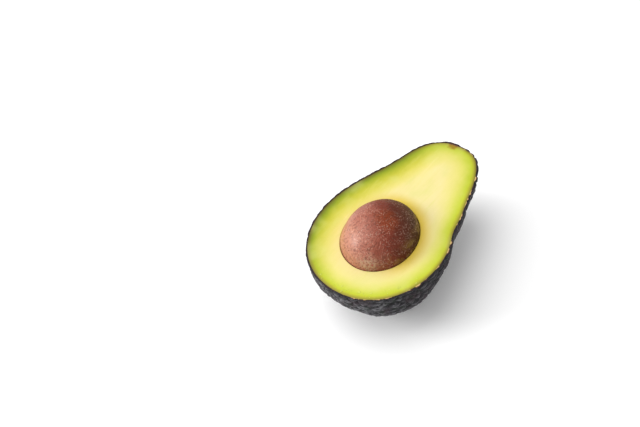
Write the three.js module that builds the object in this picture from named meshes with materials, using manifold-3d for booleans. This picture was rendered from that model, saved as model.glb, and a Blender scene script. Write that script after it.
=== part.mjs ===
// Half an avocado, cut lengthwise, lying on its skin with the cut face up and the whole seed
// still in its hollow. Millimetres, +Z up, +X along the fruit towards the neck, +Y to the left
// of the neck seen from above. The origin is the middle of the flat spot it rests on.

import * as THREE from 'three';
import { mergeVertices } from 'three/addons/utils/BufferGeometryUtils.js';
import Module from 'manifold-3d';

// ---- Driving dimensions ----

// Half outline of the whole fruit: distances from the blossom end, and radii.
const fruitLength = 101.2;
const widestAt = 36.7;
const widestRadius = 33.2;
const neckAt = 80.6;
const neckRadius = 20.8;
const neckSlope = 0.27;
// Handle lengths of the three curves of that outline.
const blossomRound = 20.8;
const widestLead = 19.7;
const widestTail = 15.2;
const neckLead = 13.9;
const neckTail = 10.9;
const tipRound = 12.2;

const undersideFullness = 0.07; // how much deeper the half is than a true half round
const neckSway = 0.9;           // sideways drift of the middle line, 50 mm from its straight part
const straightAt = 40;
const swayReach = 50;

const cutHeight = 34.1; // floor to cut face; the underside is 1 mm deeper, so it rests flat
const restAt = 38.6;    // middle of that flat spot, from the blossom end

const peelThickness = 1.4;
const gap = 0.3;

const seedAt = 36.6;
const seedBelowCut = 1.7; // middle of the seed, below the cut face
const seedHalfLength = 20.5;
const seedHalfWidth = 18.1;
const seedHalfHeight = 16.6;
const seedTaper = 0.05; // narrowing towards the neck
const seedPlay = 0.45;  // space between the seed and the hollow it lies in

const scarOffset = 4.2; // sideways from the tip of the neck
const scarRadius = 2;
const scarDepth = 2.8;
const scarRecess = 0.5; // how far its outer end lies below the skin

// Facets
const stepsAlong = 44;
const stepsAround = 40;
const seedAround = 40;
const seedRings = 20;
const scarSteps = 5;
const scarAround = 20;
const sameCorner = 1e-4; // corners closer than this are one

// ---- Solids ----

const wasm = await Module();
wasm.setup();

// A closed geometry as a solid: shared corners merged, and the triangles of no area left out.
function toSolid(geometry) {
  const bare = geometry.clone();
  bare.deleteAttribute('normal');
  bare.deleteAttribute('uv');
  const merged = mergeVertices(bare, sameCorner);
  const corners = [];
  for (let i = 0; i < merged.index.count; i += 3) {
    const a = merged.index.getX(i);
    const b = merged.index.getX(i + 1);
    const c = merged.index.getX(i + 2);
    if (a !== b && b !== c && c !== a) {
      corners.push(a, b, c);
    }
  }
  return new wasm.Manifold(new wasm.Mesh({
    numProp: 3,
    vertProperties: new Float32Array(merged.attributes.position.array),
    triVerts: new Uint32Array(corners),
  }));
}

function toGeometry(solid) {
  const mesh = solid.getMesh();
  const geometry = new THREE.BufferGeometry();
  geometry.setAttribute('position', new THREE.BufferAttribute(mesh.vertProperties, 3));
  geometry.setIndex(new THREE.BufferAttribute(mesh.triVerts, 1));
  geometry.computeVertexNormals();
  return geometry;
}

// ---- The fruit's outer form ----

// Distance from the blossom end in x, radius in y.
const halfOutline = new THREE.Path();
halfOutline.moveTo(0, 0);
halfOutline.bezierCurveTo(0, blossomRound, widestAt - widestLead, widestRadius, widestAt, widestRadius);
halfOutline.bezierCurveTo(
  widestAt + widestTail, widestRadius,
  neckAt - neckLead, neckRadius + neckSlope * neckLead,
  neckAt, neckRadius,
);
halfOutline.bezierCurveTo(
  neckAt + neckTail, neckRadius - neckSlope * neckTail,
  fruitLength, tipRound,
  fruitLength, 0,
);

// The whole fruit, lying along +X with the cut plane at z = 0, and every side moved in by inset.
function wholeFruit(inset) {
  const profile = [];
  for (let i = 0; i <= stepsAlong; i += 1) {
    const share = i / stepsAlong;
    const point = halfOutline.getPointAt(share);
    const tangent = halfOutline.getTangentAt(share);
    const onAxis = i === 0 || i === stepsAlong;
    const radius = onAxis ? 0 : point.y - inset * tangent.x;
    profile.push(new THREE.Vector2(radius, point.x + inset * tangent.y));
  }
  const geometry = new THREE.LatheGeometry(profile, stepsAround);
  geometry.rotateZ(-Math.PI / 2);
  const corner = new THREE.Vector3();
  const position = geometry.attributes.position;
  for (let i = 0; i < position.count; i += 1) {
    corner.fromBufferAttribute(position, i);
    const fullness = 1 + undersideFullness * Math.sin(Math.PI * corner.x / fruitLength) ** 2;
    const sway = neckSway * ((corner.x - straightAt) / swayReach) ** 2;
    position.setXYZ(i, corner.x, corner.y + sway, corner.z * fullness);
  }
  return toSolid(geometry);
}

// A slab from the cut face down to the floor, or to a level that much above the floor.
function belowCut(aboveFloor) {
  const height = cutHeight - aboveFloor;
  const slab = new THREE.BoxGeometry(2 * fruitLength, 2 * fruitLength, height);
  slab.translate(fruitLength / 2, 0, -height / 2);
  return toSolid(slab);
}

function halfFruit(inset) {
  return wholeFruit(inset).intersect(belowCut(inset));
}

// ---- Seed, and the hollow it lies in ----

function seedForm(margin) {
  const geometry = new THREE.SphereGeometry(1, seedAround, seedRings);
  geometry.rotateZ(Math.PI / 2);
  const corner = new THREE.Vector3();
  const position = geometry.attributes.position;
  for (let i = 0; i < position.count; i += 1) {
    corner.fromBufferAttribute(position, i);
    const taper = 1 - seedTaper * corner.x;
    position.setXYZ(
      i,
      corner.x * (seedHalfLength + margin),
      corner.y * taper * (seedHalfWidth + margin),
      corner.z * taper * (seedHalfHeight + margin),
    );
  }
  geometry.translate(seedAt, 0, -seedBelowCut);
  return toSolid(geometry);
}

// ---- Corky scar of the stalk, at the tip of the neck ----

// A short plug with a rounded inner end, reaching out by the given length.
function scarForm(margin, reach) {
  const radius = scarRadius + margin;
  const side = new THREE.Path();
  side.moveTo(0, -margin);
  side.bezierCurveTo(radius, -margin, radius, scarDepth / 2, radius, scarDepth);
  const profile = side.getSpacedPoints(scarSteps);
  profile[0].x = 0;
  profile.push(new THREE.Vector2(radius, reach));
  profile.push(new THREE.Vector2(0, reach));
  const geometry = new THREE.LatheGeometry(profile, scarAround);
  geometry.rotateZ(-Math.PI / 2);
  geometry.translate(fruitLength - scarRecess - scarDepth, scarOffset, 0);
  return toSolid(geometry);
}

// ---- Named pieces ----

const fruit = new THREE.Group();

function addPiece(name, solid, look) {
  const mesh = new THREE.Mesh(toGeometry(solid), new THREE.MeshStandardMaterial(look));
  mesh.name = name;
  fruit.add(mesh);
}

const scarPocket = scarForm(gap, scarDepth + 2 * peelThickness);
const scarPlug = scarForm(0, scarDepth + peelThickness).intersect(wholeFruit(scarRecess));

addPiece(
  'peel',
  halfFruit(0).subtract(halfFruit(peelThickness)).subtract(scarPocket),
  { color: 0x37313a, roughness: 0.5, metalness: 0 },
);
addPiece(
  'flesh',
  halfFruit(peelThickness + gap).subtract(seedForm(seedPlay)).subtract(scarPocket),
  { color: 0xe8e07a, roughness: 0.4, metalness: 0 },
);
addPiece(
  'seed',
  seedForm(0),
  { color: 0x8a5640, roughness: 0.55, metalness: 0 },
);
addPiece(
  'stem_scar',
  scarPlug.intersect(belowCut(0)),
  { color: 0x735f2e, roughness: 0.8, metalness: 0 },
);

// The flat spot's middle is the origin.
fruit.position.set(-restAt, 0, cutHeight);

export default fruit;
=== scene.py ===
import math

import bpy
import numpy as np
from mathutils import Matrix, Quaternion, Vector, noise


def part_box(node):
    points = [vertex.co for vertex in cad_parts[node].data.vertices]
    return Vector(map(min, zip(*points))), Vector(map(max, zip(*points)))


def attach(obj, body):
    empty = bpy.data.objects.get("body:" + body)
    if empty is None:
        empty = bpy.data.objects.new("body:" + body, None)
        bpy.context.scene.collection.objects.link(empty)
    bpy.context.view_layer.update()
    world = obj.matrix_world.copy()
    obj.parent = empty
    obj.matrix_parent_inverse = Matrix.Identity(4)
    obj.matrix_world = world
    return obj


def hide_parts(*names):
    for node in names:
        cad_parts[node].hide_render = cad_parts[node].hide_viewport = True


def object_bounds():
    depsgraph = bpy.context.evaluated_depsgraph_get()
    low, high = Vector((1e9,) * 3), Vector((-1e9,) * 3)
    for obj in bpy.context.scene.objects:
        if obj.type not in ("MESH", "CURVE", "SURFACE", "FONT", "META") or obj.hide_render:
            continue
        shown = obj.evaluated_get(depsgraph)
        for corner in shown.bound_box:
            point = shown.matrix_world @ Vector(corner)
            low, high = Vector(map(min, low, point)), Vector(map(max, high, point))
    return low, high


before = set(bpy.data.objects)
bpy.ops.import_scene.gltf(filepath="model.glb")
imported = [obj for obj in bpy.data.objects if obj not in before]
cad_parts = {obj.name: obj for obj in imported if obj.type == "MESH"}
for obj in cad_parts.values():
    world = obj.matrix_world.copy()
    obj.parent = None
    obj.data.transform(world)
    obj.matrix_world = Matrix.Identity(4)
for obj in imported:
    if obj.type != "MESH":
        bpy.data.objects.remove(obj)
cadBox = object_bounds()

scene = bpy.context.scene
mm = 0.001
tiny = 1e-6     # keeps a division from failing
# direction in plan towards the lamps: peel and seed are painted paler that way and darker away from it
litSide = (-0.75, 0.66)    # direction in plan
noise.seed_set(3)   # the same pebbles every time

# where the fruit's parts are in the shared frame, in millimetres
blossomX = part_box("peel")[0].x / mm
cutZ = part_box("flesh")[1].z / mm
seedMiddle = sum(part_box("seed"), Vector()) / 2 / mm
scarMiddle = sum(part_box("stem_scar"), Vector()) / 2 / mm


class Wire:
    # a node's output that can be used in Python sums; each operation adds a Math node

    def __init__(self, finish, socket):
        self.finish = finish
        self.socket = socket

    def math(self, operation, *others):
        return self.finish.node("Math", {"operation": operation}, dict(enumerate((self,) + others)))

    def __add__(self, other):
        return self.math("ADD", other)

    def __radd__(self, other):
        return self.math("ADD", other)

    def __sub__(self, other):
        return self.math("SUBTRACT", other)

    def __rsub__(self, other):
        return self.finish.node("Math", {"operation": "SUBTRACT"}, {0: other, 1: self})

    def __mul__(self, other):
        return self.math("MULTIPLY", other)

    def __rmul__(self, other):
        return self.math("MULTIPLY", other)

    def __truediv__(self, other):
        return self.math("DIVIDE", other)

    def fade(self, start, end):
        # 0 at start, 1 at end, smooth between; start may be the larger
        values = {"Value": self, "From Min": start, "From Max": end}
        return self.finish.node("MapRange", {"interpolation_type": "SMOOTHSTEP"}, values)


class Finish:
    # a material under construction

    def __init__(self, name):
        self.material = bpy.data.materials.new(name)
        self.material.use_nodes = True
        self.tree = self.material.node_tree
        self.tree.nodes.clear()

    def node(self, kind, settings, values, output=0):
        made = self.tree.nodes.new("ShaderNode" + kind)
        for name, value in settings.items():
            if name == "stops":
                self.setStops(made.color_ramp, value)
            else:
                setattr(made, name, value)
        for key, value in values.items():
            if isinstance(value, Wire):
                self.tree.links.new(value.socket, made.inputs[key])
            else:
                made.inputs[key].default_value = value
        return Wire(self, made.outputs[output]) if made.outputs else made

    def setStops(self, ramp, stops):
        while len(ramp.elements) < len(stops):
            ramp.elements.new(1)
        for element, (place, colour) in zip(ramp.elements, stops):
            element.position = place
            element.color = colour

    def attribute(self, name):
        return self.node("Attribute", {"attribute_name": name}, {}, "Fac")

    def place(self, scale=(1, 1, 1)):
        # position in millimetres, stretched by scale
        coordinates = self.node("TexCoord", {}, {}, "Object")
        factors = tuple(s / mm for s in scale)
        return self.node("VectorMath", {"operation": "MULTIPLY"}, {0: coordinates, 1: factors})

    def split(self, vector, axis):
        return self.node("SeparateXYZ", {}, {0: vector}, axis)

    def towardsLight(self, place):
        # how far a point lies towards the light, in millimetres; peel and seed are painted paler that way
        # as painted highlight and darker away from it as painted shade
        x, y = litSide
        return self.split(place, "X") * x + self.split(place, "Y") * y

    def distance(self, place, spot):
        return self.node("VectorMath", {"operation": "DISTANCE"}, {0: place, 1: spot}, "Value")

    def noise(self, size, detail=3, scale=(1, 1, 1), rough=0.5):
        # size is how far apart the blotches are, in millimetres
        values = {"Vector": self.place(scale), "Scale": 1 / size, "Detail": detail, "Roughness": rough}
        return self.node("TexNoise", {}, values, "Fac")

    def cells(self, size, scale=(1, 1, 1)):
        # 0 at the middle of each cell, rising outwards
        values = {"Vector": self.place(scale), "Scale": 1 / size}
        return self.node("TexVoronoi", {"feature": "F1"}, values, "Distance")

    def ramp(self, factor, stops):
        return self.node("ValToRGB", {"stops": stops}, {0: factor}, "Color")

    def mix(self, factor, first, second):
        return self.node("Mix", {"data_type": "RGBA"}, {0: factor, 6: first, 7: second}, 2)

    def bump(self, height, distance, strength=1.0, normal=None):
        values = {"Height": height, "Distance": distance * mm, "Strength": strength}
        if normal:
            values["Normal"] = normal
        return self.node("Bump", {}, values)

    def finished(self, values):
        shader = self.node("BsdfPrincipled", {}, values)
        self.node("OutputMaterial", {}, {"Surface": shader})
        return self.material


def tint(red, green, blue):
    # a colour given as on a screen, 0 to 255
    channels = [c / 255 for c in (red, green, blue)]
    linear = [c / 12.92 if c <= 0.04045 else ((c + 0.055) / 1.055) ** 2.4 for c in channels]
    return (*linear, 1)


def smoothStep(value, start, end):
    share = np.clip((value - start) / (end - start), 0, 1)
    return share * share * (3 - 2 * share)


def loopMesh(name, firstPole, loops, lastPole, marks):
    # a closed skin over loops of equal length, from one pole to the other, given in millimetres
    count = len(loops[0])
    points = np.concatenate([[firstPole], *loops, [lastPole]]) * mm
    faces = []
    following = np.roll(np.arange(count), -1)
    for k in range(count):
        faces.append((0, 1 + following[k], 1 + k))
    for row in range(len(loops) - 1):
        here = 1 + row * count
        there = here + count
        for k in range(count):
            faces.append((here + k, here + following[k], there + following[k], there + k))
    last = len(points) - 1
    here = last - count
    for k in range(count):
        faces.append((here + k, here + following[k], last))
    mesh = bpy.data.meshes.new(name)
    mesh.from_pydata(points.tolist(), [], [tuple(map(int, face)) for face in faces])
    mesh.update()
    mesh.polygons.foreach_set("use_smooth", [True] * len(mesh.polygons))
    for mark, values in marks.items():
        ends = np.concatenate([[values[0][0]], *values, [values[-1][0]]])
        layer = mesh.attributes.new(mark, "FLOAT", "POINT")
        layer.data.foreach_set("value", ends.astype(np.float32))
    piece = bpy.data.objects.new(name, mesh)
    scene.collection.objects.link(piece)
    return piece


def loopNormals(loops):
    # outward normals of stacked loops that run anticlockwise seen from above, rim first
    grid = np.array(loops)
    around = np.roll(grid, -1, 1) - np.roll(grid, 1, 1)
    down = np.gradient(grid, axis=0)
    normals = np.cross(down, around)
    return normals / np.maximum(np.linalg.norm(normals, axis=2, keepdims=True), tiny)


def distanceToLoop(points, loop):
    # shortest distance in plan from each point to a closed loop
    start = loop[:, :2]
    span = np.roll(start, -1, 0) - start
    lengths = np.maximum((span ** 2).sum(1), tiny)
    result = []
    for row in points:
        gaps = row[:, None, :2] - start[None]
        along = np.clip((gaps * span).sum(2) / lengths, 0, 1)
        nearest = gaps - along[..., None] * span
        result.append(np.sqrt((nearest ** 2).sum(2).min(1)))
    return result


# the fruit's form in millimetres: the cad's, with less sway, and with a dip and a blunt corner
fruit = dict(
    length=101.2, widestAt=36.7, widestRadius=33.2, neckAt=80.6, neckRadius=20.8, neckSlope=0.27,
    blossomRound=20.8, widestLead=19.7, widestTail=15.2, neckLead=13.9, neckTail=10.9, tipRound=12.2,
    fullness=0.07, sway=0.5, straightAt=40, swayReach=50,
    dip=1.3, dipAt=58, dipReach=7, dipFrom=10, dipFull=26,      # a shallow dip in the right side
    cornerAlong=98, cornerAcross=-9, cornerReach=8, corner=1.2,     # a blunt corner right of the tip
    around=440,     # points round the cut
    heartAt=42,     # the underside's rings close in below this place
    floorEdge=0.02,     # softness of the flat spot's edge
)


def bezier(*corners):
    steps = 600
    t = np.linspace(0, 1, steps)[:, None]
    a, b, c, d = np.array(corners, float)
    return (1 - t) ** 3 * a + 3 * (1 - t) ** 2 * t * b + 3 * (1 - t) * t ** 2 * c + t ** 3 * d


def halfOutline(inset):
    # distance along the fruit and radius, moved in by inset along the outline's normals
    f = fruit
    widest = (f["widestAt"], f["widestRadius"])
    neck = (f["neckAt"], f["neckRadius"])
    beforeNeck = (neck[0] - f["neckLead"], neck[1] + f["neckSlope"] * f["neckLead"])
    afterNeck = (neck[0] + f["neckTail"], neck[1] - f["neckSlope"] * f["neckTail"])
    tip = f["length"]
    curve = np.concatenate([
        bezier((0, 0), (0, f["blossomRound"]), (widest[0] - f["widestLead"], widest[1]), widest)[:-1],
        bezier(widest, (widest[0] + f["widestTail"], widest[1]), beforeNeck, neck)[:-1],
        bezier(neck, afterNeck, (tip, f["tipRound"]), (tip, 0)),
    ])
    run = np.gradient(curve, axis=0)
    run /= np.linalg.norm(run, axis=1, keepdims=True)
    curve = curve + inset * np.stack([run[:, 1], -run[:, 0]], 1)
    curve[0, 1] = 0
    curve[-1, 1] = 0
    return curve


def swayAt(along):
    return fruit["sway"] * ((along - fruit["straightAt"]) / fruit["swayReach"]) ** 2


def cutLoop(inset):
    # the outline of the cut face, anticlockwise from the blossom end, evenly spaced
    curve = halfOutline(inset)
    lengths = np.concatenate([[0], np.cumsum(np.linalg.norm(np.diff(curve, axis=0), axis=1))])
    half = fruit["around"] // 2
    even = np.linspace(0, lengths[-1], half + 1)
    along = np.interp(even, lengths, curve[:, 0])
    radius = np.interp(even, lengths, curve[:, 1])
    x = np.concatenate([along[:-1], along[:0:-1]])
    y = np.concatenate([-radius[:-1], radius[:0:-1]]) + swayAt(x)
    return np.stack([x, y, np.zeros_like(x)], 1)


def depthAt(x, y, inset):
    curve = halfOutline(inset)
    radius = np.interp(x, curve[:, 0], curve[:, 1])
    fullness = 1 + fruit["fullness"] * np.sin(np.pi * x / fruit["length"]) ** 2
    return fullness * np.sqrt(np.maximum(radius ** 2 - (y - swayAt(x)) ** 2, 0))


def bowlLoops(inset, rings):
    # rings down the underside from the cut face to just before the lowest point
    rim = cutLoop(inset)
    heart = np.array([fruit["heartAt"], swayAt(fruit["heartAt"]), 0])
    loops = [rim]
    for turn in np.linspace(0, math.pi / 2, rings + 1)[1:-1]:
        plan = heart + (rim - heart) * math.cos(turn)
        plan[:, 2] = -depthAt(plan[:, 0], plan[:, 1], inset)
        loops.append(plan)
    pole = heart.copy()
    pole[2] = -depthAt(heart[0], heart[1], inset)
    return loops, pole


def onFloor(points, level):
    # presses what would go through the floor flat onto it, with a soft edge; level is above the floor
    points = np.array(points)
    height = points[..., 2] + cutZ - level
    points[..., 2] = (height + np.sqrt(height ** 2 + fruit["floorEdge"])) / 2 + level - cutZ
    return points


def placed(points):
    # from distances along the fruit and below the cut to the shared frame, with dip and corner
    points = np.array(points)
    dip = fruit["dip"] * np.exp(-((points[..., 0] - fruit["dipAt"]) / fruit["dipReach"]) ** 2)
    points[..., 1] += dip * smoothStep(-points[..., 1], fruit["dipFrom"], fruit["dipFull"])
    corner = np.array([fruit["cornerAlong"], fruit["cornerAcross"]])
    away = ((points[..., :2] - corner) ** 2).sum(-1) / fruit["cornerReach"] ** 2
    points[..., 0] += fruit["corner"] * np.exp(-away)
    return points + np.array([blossomX, 0, cutZ])


def sample(points, function):
    # one value per point of a grid of points
    points = np.array(points)
    flat = points.reshape(-1, 3)
    return np.array([function(Vector(point)) for point in flat]).reshape(points.shape[:-1])


peel = dict(
    inset=0.4,      # below the cad's skin, which the pebbles then reach
    thickness=0.75, least=0.25,     # at the rim, and under the deepest creases
    rings=150, innerRings=22, rimRows=5,
    bulge=2.2, bulgeTowards=(-0.53, -0.85), bulgeFocus=0.78,    # one side of the belly is fuller
    fuller=0.2, fullerFrom=1, fullerFull=13, fullerEnds=20, fullerGone=31,  # depths below the cut
    settle=0.35, settleFrom=24, settleFull=33,      # the underside draws in round the flat spot
    pebbleSize=2.8, pebbleHeight=1.2, pebbleWidth=0.62, pebbleFlatness=1.5,
    crease=0.55, creaseShare=0.6,   # width of a crease, and the share of the height below the skin
    bend=1.2, bendSize=4.5,     # how far and over what length the pebbles' rows wander
    patchSize=14, weakest=0.5, patchRange=0.8,      # patches of flatter and of bolder pebbles
    calm=0.65, calmDepth=5, calmFrom=-10, calmFull=12,      # flatter near the rim on the left
    lumpSize=9, lumpHeight=0.4, grainSize=1.0, grainHeight=0.12,
    rimCrown=0.05, rimRough=0.08, rimRoughSize=1.3, rimSink=0.03, rimRound=0.12,
)


def pebbleAt(point):
    # 0 in the creases between pebbles, up to 1 on their tops; the pebbles lie flat along the skin
    bend = noise.noise_vector(point / peel["bendSize"]) * peel["bend"]
    bend.z /= 2
    wide = peel["pebbleWidth"]
    spot = (point + bend) * Vector((wide, wide, peel["pebbleFlatness"]))
    distances = noise.voronoi(spot / peel["pebbleSize"])[0]
    dome = min((distances[1] - distances[0]) / peel["crease"], 1)
    return 1 - (1 - dome) ** 2


def buildPeel():
    outer, pole = bowlLoops(peel["inset"], peel["rings"])
    outer = np.array(outer)
    normals = loopNormals(outer)
    pebble = sample(outer, pebbleAt)
    patch = sample(outer, lambda p: 0.5 + 0.5 * noise.noise(p / peel["patchSize"] + Vector((3, 7, 1))))
    strength = peel["weakest"] + peel["patchRange"] * patch
    below = -outer[..., 2]
    nearRim = 1 - smoothStep(below, 0, peel["calmDepth"])
    onLeft = smoothStep(outer[..., 1], peel["calmFrom"], peel["calmFull"])
    strength *= 1 - peel["calm"] * nearRim * onLeft
    lump = sample(outer, lambda p: noise.noise(p / peel["lumpSize"]))
    grain = sample(outer, lambda p: noise.noise(p / peel["grainSize"]))
    rise = peel["pebbleHeight"] * strength * (pebble - peel["creaseShare"])
    rise += peel["lumpHeight"] * lump + peel["grainHeight"] * grain
    facing = normals[..., :2] @ np.array(peel["bulgeTowards"])
    facing /= np.maximum(np.linalg.norm(normals[..., :2], axis=2), tiny)
    bulge = peel["bulge"] * smoothStep(facing, peel["bulgeFocus"], 1) + peel["fuller"]
    starts = smoothStep(below, peel["fullerFrom"], peel["fullerFull"])
    ends = smoothStep(below, peel["fullerEnds"], peel["fullerGone"])
    rise += bulge * starts * (1 - ends)
    rise -= peel["settle"] * smoothStep(below, peel["settleFrom"], peel["settleFull"])
    rise = np.maximum(rise, peel["least"] - peel["thickness"])
    outer = onFloor(outer + normals * rise[..., None], 0)
    pole = onFloor(pole, 0)
    outer[0, :, 2] = 0

    innerInset = peel["inset"] + peel["thickness"]
    inner, innerPole = bowlLoops(innerInset, peel["innerRings"])
    inner = onFloor(inner, innerInset)
    innerPole = onFloor(innerPole, innerInset)
    inner[0, :, 2] = 0
    rim = []
    across = np.linspace(0, 1, peel["rimRows"] + 2)[1:-1]
    for share in across:
        row = outer[0] * (1 - share) + inner[0] * share
        row[:, 2] = peel["rimCrown"] * math.sin(math.pi * share)
        rough = sample(row, lambda p: noise.noise(p / peel["rimRoughSize"]))
        row[:, 2] += peel["rimRough"] * rough - peel["rimSink"]
        rim.append(row)
    outer[0, :, 2] = -peel["rimRound"]
    loops = [*outer[::-1], *rim, *inner]
    count = fruit["around"]
    depth = [np.zeros(count)] * len(outer)
    depth += [np.full(count, share) for share in across]
    depth += [np.ones(count)] * len(inner)
    flat = [np.full(count, 0.5)] * (len(rim) + len(inner))
    marks = {"rimDepth": depth, "pebble": [*pebble[::-1], *flat]}
    return loopMesh("avocadoPeel", placed(pole), placed(loops), placed(innerPole), marks)


def peelFinish():
    make = Finish("peelSkin")
    pebble = make.attribute("pebble")
    inward = make.attribute("rimDepth")
    fine = make.noise(0.7, 4)
    flat = (0.5, 0.5, 1.6)      # grain that lies along the skin
    # pale streaks on the pebble tops: a little wear, mostly painted highlight where the light catches them
    wornAndSheen = make.noise(1.5, 4, flat, 0.62).fade(0.47, 0.6) * pebble
    # the skin is painted darker in the creases between pebbles than on their tops: painted shade
    skin = make.mix(pebble.fade(0.1, 0.9), tint(8, 6, 9), tint(30, 27, 33))
    place = make.place()
    low = make.split(place, "Z").fade(cutZ, cutZ - 7)
    # painted highlight: the peel is painted paler towards the light, less so just below the rim
    paintedHighlight = make.towardsLight(place).fade(-22, 16) * (low * 0.5 + 0.5)
    # the pale streaks lie mostly on the lit side, as painted highlight
    skin = make.mix(wornAndSheen * (paintedHighlight * 0.9 + 0.06), skin, tint(140, 140, 143))
    # pebble tops painted paler on the lit side: painted highlight
    skin = make.mix(paintedHighlight * pebble * 0.45, skin, tint(88, 86, 91))
    skin = make.mix(make.noise(7, 3).fade(0.5, 0.7) * 0.5, skin, tint(54, 34, 42))
    skin = make.mix(make.noise(4.5, 3).fade(0.55, 0.7) * 0.5, skin, tint(38, 48, 38))
    specks = make.cells(1.9).fade(0.2, 0.1) * make.noise(3, 2).fade(0.52, 0.62)
    skin = make.mix(specks * 0.6, skin, tint(126, 112, 92))
    tan = make.noise(3.2, 3).fade(0.48, 0.6) * make.split(place, "Y").fade(6, -14)
    rim = make.ramp(inward * 0.86 + (make.noise(1.2, 3) - 0.5) * 0.5 + tan * 0.49, [
        (0.0, tint(20, 12, 16)), (0.6, tint(40, 22, 24)),
        (0.9, tint(86, 58, 40)), (1.0, tint(196, 164, 108)),
    ])
    colour = make.mix(inward.fade(0.02, 0.1), skin, rim)
    bump = make.bump(make.noise(1.1, 4, flat, 0.6), 0.5, 0.7)
    bump = make.bump(make.cells(0.6, flat), 0.12, 0.5, bump)
    return make.finished({
        "Base Color": colour,
        "Roughness": 0.26 + fine * 0.14 + (1 - pebble) * 0.25,
        "Specular IOR Level": 0.24,
        "Normal": bump,
    })


flesh = dict(
    gap=0.03, faceRows=64, cavityRings=30, sideRings=22,
    edgeRound=0.15, edgeReach=0.8, lipRound=0.35,   # rounding at the peel, and at the hollow
    cavityPlay=0.04, cavityTop=0.3,
    waveHeight=0.16, waveLong=22, waveWide=9, rippleHeight=0.035, rippleLong=5, rippleWide=2.4,
    calmEdge=3,     # no waves this near the peel
    palestAt=15,    # distance from the peel where the flesh is palest
    farAway=20,     # mark for what isn't on the cut face
)

seed = dict(
    halfLength=20.3, halfWidth=17.8, halfHeight=16.6, taper=0.01, around=320, rings=150,
    lumpHeight=0.35, grainHeight=0.05, finestHeight=0.03, shrink=0.2,
    lumpCount=1.6, grainCount=19, finestCount=45,   # over half the seed
    # the coat's darkest end is painted shade and its palest end painted highlight
    shadeSpan=32,   # width over which the coat goes from its darkest to its palest
    rustSpot=(0, -4, 48), crustSpot=(-18, -6.5, 37),    # places in the shared frame
)


def cavityLoop(turns, level):
    # the seed's hollow at a level below the cut face
    play = flesh["cavityPlay"]
    below = seedMiddle.z - cutZ
    share = math.sqrt(max(1 - ((level - below) / (seed["halfHeight"] + play)) ** 2, 0))
    x = np.cos(turns) * share
    taper = 1 - seed["taper"] * x
    return np.stack([
        seedMiddle.x - blossomX + x * (seed["halfLength"] + play),
        seedMiddle.y + np.sin(turns) * share * taper * (seed["halfWidth"] + play),
        np.full(len(turns), level),
    ], 1)


def buildFlesh():
    inset = peel["inset"] + peel["thickness"] + flesh["gap"]
    side, pole = bowlLoops(inset, flesh["sideRings"])
    side = onFloor(side, inset)
    pole = onFloor(pole, inset)
    edge = side[0].copy()
    edge[:, 2] = 0
    heart = np.array([seedMiddle.x - blossomX, seedMiddle.y])
    turns = np.arctan2(edge[:, 1] - heart[1], edge[:, 0] - heart[0])
    rim = cavityLoop(turns, 0)

    face = []
    for share in np.linspace(0, 1, flesh["faceRows"]):
        eased = 0.5 - 0.5 * math.cos(math.pi * share)
        face.append(rim * (1 - eased) + edge * eased)
    face = np.array(face)
    skinDistance = np.array(distanceToLoop(face, edge))
    seedDistance = np.array(distanceToLoop(face, rim))
    f = flesh
    wave = sample(face, lambda p: noise.noise(Vector((p.x / f["waveLong"], p.y / f["waveWide"], 2))))
    ripple = sample(face, lambda p: noise.noise(Vector((p.x / f["rippleLong"], p.y / f["rippleWide"], 5))))
    height = f["waveHeight"] * wave + f["rippleHeight"] * ripple
    height *= smoothStep(skinDistance, 0, f["calmEdge"])
    height -= f["edgeRound"] * (1 - smoothStep(skinDistance, 0, f["edgeReach"])) ** 2
    height -= f["lipRound"] * np.maximum(1 - seedDistance / f["lipRound"], 0) ** 2
    face[..., 2] = height

    below = seedMiddle.z - cutZ
    cavity = []
    lowest = below - seed["halfHeight"] - flesh["cavityPlay"]
    top = face[0, 0, 2]
    for share in np.linspace(0, 1, flesh["cavityRings"] + 1)[1:]:
        level = below + (lowest - below) * math.sin(share * math.pi / 2)
        if level < top - flesh["cavityTop"]:
            cavity.append(cavityLoop(turns, level))
    cavityPole = np.array([heart[0], heart[1], lowest])
    cavity = cavity[:-1]
    loops = [*side[:0:-1], *face[::-1], *cavity]
    count = fruit["around"]
    sides = [np.zeros(count)] * (len(side) - 1)
    hollow = [np.zeros(count)] * len(cavity)
    scarAt = np.array([scarMiddle.x - blossomX, scarMiddle.y])
    scarDistance = np.linalg.norm(face[..., :2] - scarAt, axis=2)
    far = [np.full(count, float(flesh["farAway"]))]
    marks = {
        "skinDistance": [*sides, *skinDistance[::-1], *(far * len(cavity))],
        "seedDistance": [*(far * len(sides)), *seedDistance[::-1], *hollow],
        "scarDistance": [*(far * len(sides)), *scarDistance[::-1], *(far * len(cavity))],
    }
    return loopMesh("avocadoFlesh", placed(pole), placed(loops), placed(cavityPole), marks)


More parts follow.
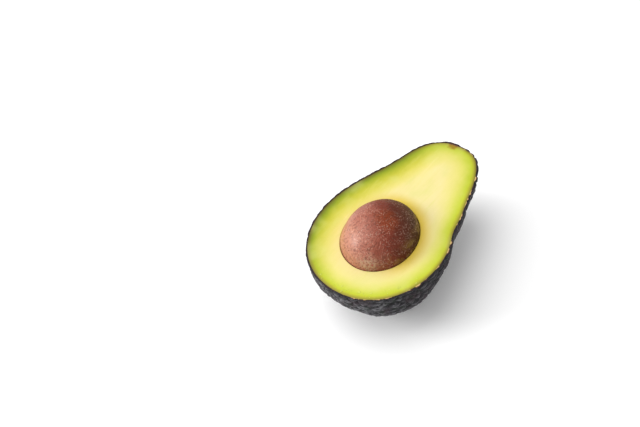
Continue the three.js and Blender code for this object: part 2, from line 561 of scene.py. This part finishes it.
def fleshFinish():
    make = Finish("ripeFlesh")
    fromSkin = make.attribute("skinDistance")
    fromSeed = make.attribute("seedDistance")
    fromScar = make.attribute("scarDistance")
    place = make.place()
    along = make.split(place, "X")
    across = make.split(place, "Y")
    uneven = (make.noise(6, 3) - 0.5) * 2.2 + (make.noise(1.8, 3) - 0.5) * 0.7
    depth = (fromSkin + uneven * fromSkin.fade(0.2, 3)) / flesh["palestAt"]
    left = make.ramp(depth, [
        (0.0, tint(80, 76, 22)), (0.045, tint(100, 99, 20)), (0.08, tint(112, 118, 18)),
        (0.13, tint(121, 136, 14)), (0.2, tint(142, 153, 20)), (0.3, tint(164, 168, 34)),
        (0.42, tint(184, 181, 52)), (0.6, tint(202, 194, 80)), (0.8, tint(215, 203, 110)),
        (1.0, tint(222, 208, 138)),
    ])
    right = make.ramp(depth, [
        (0.0, tint(140, 132, 46)), (0.045, tint(152, 147, 42)), (0.08, tint(170, 168, 40)),
        (0.13, tint(182, 190, 42)), (0.2, tint(188, 196, 60)), (0.3, tint(199, 201, 82)),
        (0.42, tint(211, 206, 106)), (0.6, tint(221, 210, 132)), (0.9, tint(224, 210, 150)),
    ])
    darker = (across + along * 0.3).fade(-12, 25) * (1 - along.fade(40, 62) * 0.75)
    colour = make.mix(darker, right, left)
    fibres = make.noise(1.9, 4, (0.14, 1, 1), 0.6)
    colour = make.mix(fibres.fade(0.48, 0.72) * 0.35 * fromSkin.fade(2, 7), colour, tint(208, 204, 110))
    colour = make.mix(fibres.fade(0.44, 0.3) * 0.3 * fromSkin.fade(7, 12), colour, tint(230, 214, 156))
    colour = make.mix(make.noise(13, 2).fade(0.5, 0.75) * 0.35, colour, tint(205, 205, 118))
    # painted shade and bounced seed colour: deeper yellow on the flesh round the seed, strongest on the
    # side away from the light
    seedShadeSide = (along - across).fade(-14, 16) * 0.7 + 0.15
    colour = make.mix(fromSeed.fade(7.5, 0.2) * seedShadeSide, colour, tint(210, 178, 26))
    band = fromSkin.fade(0.5, 1.2) * fromSkin.fade(5, 2.5) * (along + across * 0.6).fade(-22, -36)
    # small nicks near the skin: real bumps, with a painted highlight on them in pale colour
    nicksAndGlints = make.noise(1.7, 3, (1, 1, 1), 0.6).fade(0.58, 0.66) * band
    colour = make.mix(nicksAndGlints * 0.6, colour, tint(218, 226, 118))
    smudge = (fromScar + (make.noise(1.5, 3) - 0.5) * 2.4).fade(3.4, 1.6)
    colour = make.mix(smudge * 0.85, colour, tint(142, 106, 12))
    bump = make.bump(make.noise(0.9, 4), 0.06, 0.5)
    bump = make.bump(make.noise(3.5, 3, (0.4, 1, 1)), 0.12, 0.5, bump)
    bump = make.bump(nicksAndGlints, 0.3, 0.8, bump)
    return make.finished({
        "Base Color": colour,
        "Roughness": 0.36 + make.noise(2.5, 3) * 0.16,
        "Specular IOR Level": 0.18,
        "Normal": bump,
    })


def buildSeed():
    turns = np.linspace(0, 2 * math.pi, seed["around"], endpoint=False)
    loops = []
    for tilt in np.linspace(0, math.pi, seed["rings"] + 1)[1:-1]:
        x = np.full(len(turns), math.cos(tilt))
        y = np.cos(turns) * math.sin(tilt)
        z = np.sin(turns) * math.sin(tilt)
        loops.append(np.stack([x, y, z], 1))
    poles = np.array([[1.0, 0, 0], [-1.0, 0, 0]])

    def shaped(unit):
        taper = 1 - seed["taper"] * unit[..., 0:1]
        size = np.array([seed["halfLength"], seed["halfWidth"], seed["halfHeight"]])
        scale = np.concatenate([np.ones_like(taper), taper, taper], -1)
        lump = sample(unit, lambda p: noise.noise(p * seed["lumpCount"] + Vector((4, 1, 9))))
        grain = sample(unit, lambda p: noise.noise(p * seed["grainCount"]))
        finest = sample(unit, lambda p: noise.noise(p * seed["finestCount"]))
        rise = seed["lumpHeight"] * lump + seed["grainHeight"] * grain
        rise += seed["finestHeight"] * finest - seed["shrink"]
        return unit * scale * (size + rise[..., None]) + np.array(seedMiddle)

    first, last = shaped(poles)
    body = shaped(np.array(loops))
    return loopMesh("avocadoSeed", first, body, last, {})


def seedFinish():
    make = Finish("seedCoat")
    place = make.place()
    up = make.split(place, "Z")
    # the coat is painted from dark on the side away from the light (painted shade) to pinkish pale on the
    # lit side (painted highlight), with its own mottling; the coat layer lies on the lit side too
    share = (make.towardsLight(place) + (make.noise(7, 4) - 0.5) * 11) / seed["shadeSpan"] + 0.5
    colour = make.ramp(share, [
        (0.0, tint(64, 38, 18)), (0.3, tint(94, 40, 24)), (0.5, tint(124, 56, 40)),
        (0.66, tint(144, 78, 60)), (0.83, tint(162, 97, 78)), (1.0, tint(180, 118, 94)),
    ])
    rust = (make.distance(place, seed["rustSpot"]) + (make.noise(4, 3) - 0.5) * 8).fade(8, 3)
    colour = make.mix(rust * 0.6, colour, tint(128, 54, 18))
    film = up.fade(cutZ + 9, cutZ + 1) * make.noise(3.5, 3).fade(0.42, 0.6) * share.fade(0.8, 0.2)
    colour = make.mix(film * 0.6, colour, tint(140, 116, 56))
    # dark specks in the coat's grain: painted shade in its pits
    pitShade = make.noise(1.2, 4, (1, 1, 1), 0.7).fade(0.52, 0.36)
    colour = make.mix(pitShade * 0.5, colour, tint(76, 34, 20))
    # pale specks: some dust, mostly painted glints on the grain
    dustAndGlints = make.noise(0.65, 3, (1, 1, 1), 0.6).fade(0.5, 0.72) * make.noise(5, 3).fade(0.35, 0.6)
    colour = make.mix(dustAndGlints * 0.42, colour, tint(230, 190, 168))
    crust = (make.distance(place, seed["crustSpot"]) + (make.noise(3, 3) - 0.5) * 5).fade(6.5, 2.5)
    crumbs = make.noise(0.9, 4).fade(0.42, 0.56)
    colour = make.mix(crust * crumbs * 0.6, colour, tint(188, 158, 128))
    bump = make.bump(make.noise(1.1, 4), 0.5, 0.8)
    bump = make.bump(make.cells(0.8), 0.25, 0.7, bump)
    return make.finished({
        "Base Color": colour,
        "Roughness": 0.4 + make.noise(0.7, 4) * 0.24,
        "Specular IOR Level": 0.12,
        "Coat Weight": share.fade(0.4, 0.95) * 0.55,
        "Coat Roughness": 0.36,
        "Normal": bump,
    })


scar = dict(
    radius=1.9, depth=2.6, around=72, rings=25,
    belowFace=0.05, endRough=0.25, endCount=1.6, topRough=0.08, topCount=2.1, innerTip=0.1,
    shoulder=1.4,   # how soon the plug reaches its full radius
    roundness=0.9,  # 1 is round underneath, less is squarer
)


def buildScar():
    # half a plug, cut level with the face; rings run from its inner end outwards
    turns = np.linspace(0, 2 * math.pi, scar["around"], endpoint=False)
    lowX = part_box("stem_scar")[0].x / mm
    loops = []
    for share in np.linspace(0, 1, scar["rings"] + 1)[1:]:
        radius = scar["radius"] * (1 - (1 - min(share * scar["shoulder"], 1)) ** 2) ** 0.5
        y = np.cos(turns) * radius
        z = -np.abs(np.sin(turns)) ** scar["roundness"] * radius * (np.sin(turns) < 0)
        x = np.full(len(turns), share * scar["depth"])
        loops.append(np.stack([lowX + x, scarMiddle.y + y, cutZ + z - scar["belowFace"]], 1))
    loops = np.array(loops)
    loops[..., 0] += scar["endRough"] * sample(loops, lambda p: noise.noise(p * scar["endCount"]))
    apart = Vector((5, 5, 5))
    rough = sample(loops, lambda p: noise.noise(p * scar["topCount"] + apart))
    loops[..., 2] += scar["topRough"] * rough
    first = loops[0].mean(0) - np.array([scar["innerTip"], 0, 0])
    last = loops[-1].mean(0)
    return loopMesh("stalkScar", first, loops, last, {})


def scarFinish():
    make = Finish("scarCork")
    colour = make.mix(make.noise(0.9, 4).fade(0.35, 0.7), tint(120, 82, 40), tint(72, 38, 30))
    return make.finished({
        "Base Color": colour,
        "Roughness": 0.75 + make.noise(0.8, 3) * 0.2,
        "Normal": make.bump(make.noise(0.4, 4), 0.15, 0.8),
    })


studio = dict(
    floorSize=3.0, floorTint=(251, 251, 251),
    skyStrength=0.69,
    keyAzimuth=88, keyElevation=66, keyDistance=4, keySize=4.5, keyPower=101,
    sideAzimuth=130, sideElevation=25, sideDistance=2, sideSize=1.0, sidePower=25,
)

camera = dict(
    azimuth=-130.77, elevation=53.4, roll=-11.43, distance=0.6077, lens=72.15, sensor=36,
    aimAlong=-0.0202, aimAcross=0.0315,     # from the middle of the fruit, on the cut face
)


def around(middle, azimuth, elevation, distance):
    a = math.radians(azimuth)
    e = math.radians(elevation)
    return middle + Vector((math.cos(e) * math.cos(a), math.cos(e) * math.sin(a), math.sin(e))) * distance


def buildFloor():
    size = studio["floorSize"]
    mesh = bpy.data.meshes.new("floor")
    corners = [(-size, -size, 0), (size, -size, 0), (size, size, 0), (-size, size, 0)]
    mesh.from_pydata(corners, [], [(0, 1, 2, 3)])
    floor = bpy.data.objects.new("floor", mesh)
    scene.collection.objects.link(floor)
    make = Finish("paleFloor")
    mesh.materials.append(make.finished({"Base Color": tint(*studio["floorTint"]), "Roughness": 0.9}))


def addLight(name, azimuth, elevation, distance, size, power):
    light = bpy.data.lights.new(name, "AREA")
    light.shape = "DISK"
    light.size = size
    light.energy = power
    lamp = bpy.data.objects.new(name, light)
    middle = (Vector(cadBox[0]) + Vector(cadBox[1])) / 2
    lamp.location = around(middle, azimuth, elevation, distance)
    lamp.rotation_mode = "QUATERNION"
    lamp.rotation_quaternion = (middle - lamp.location).to_track_quat("-Z", "Y")
    scene.collection.objects.link(lamp)


def buildStudio():
    buildFloor()
    s = studio
    addLight("key", s["keyAzimuth"], s["keyElevation"], s["keyDistance"], s["keySize"], s["keyPower"])
    addLight("side", s["sideAzimuth"], s["sideElevation"], s["sideDistance"], s["sideSize"], s["sidePower"])
    world = bpy.data.worlds.new("studio")
    world.use_nodes = True
    sky = world.node_tree.nodes["Background"]
    sky.inputs["Color"].default_value = (1, 1, 1, 1)
    sky.inputs["Strength"].default_value = s["skyStrength"]
    scene.world = world
    scene.view_settings.view_transform = "Standard"


def buildCamera():
    middle = (Vector(cadBox[0]) + Vector(cadBox[1])) / 2
    aim = Vector((middle.x + camera["aimAlong"], middle.y + camera["aimAcross"], cutZ * mm))
    data = bpy.data.cameras.new("camera")
    data.lens = camera["lens"]
    data.sensor_width = camera["sensor"]
    view = bpy.data.objects.new("camera", data)
    view.location = around(aim, camera["azimuth"], camera["elevation"], camera["distance"])
    upright = (aim - view.location).to_track_quat("-Z", "Y")
    view.rotation_mode = "QUATERNION"
    view.rotation_quaternion = upright @ Quaternion((0, 0, 1), math.radians(camera["roll"]))
    scene.collection.objects.link(view)
    scene.camera = view


def addPiece(piece, node, material):
    piece.data.materials.append(material)
    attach(piece, "root")
    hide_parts(node)
    print("made", piece.name, len(piece.data.polygons), "faces")


buildCamera()
buildStudio()
print("studio and camera are set")
addPiece(buildPeel(), "peel", peelFinish())
addPiece(buildFlesh(), "flesh", fleshFinish())
addPiece(buildSeed(), "seed", seedFinish())
addPiece(buildScar(), "stem_scar", scarFinish())
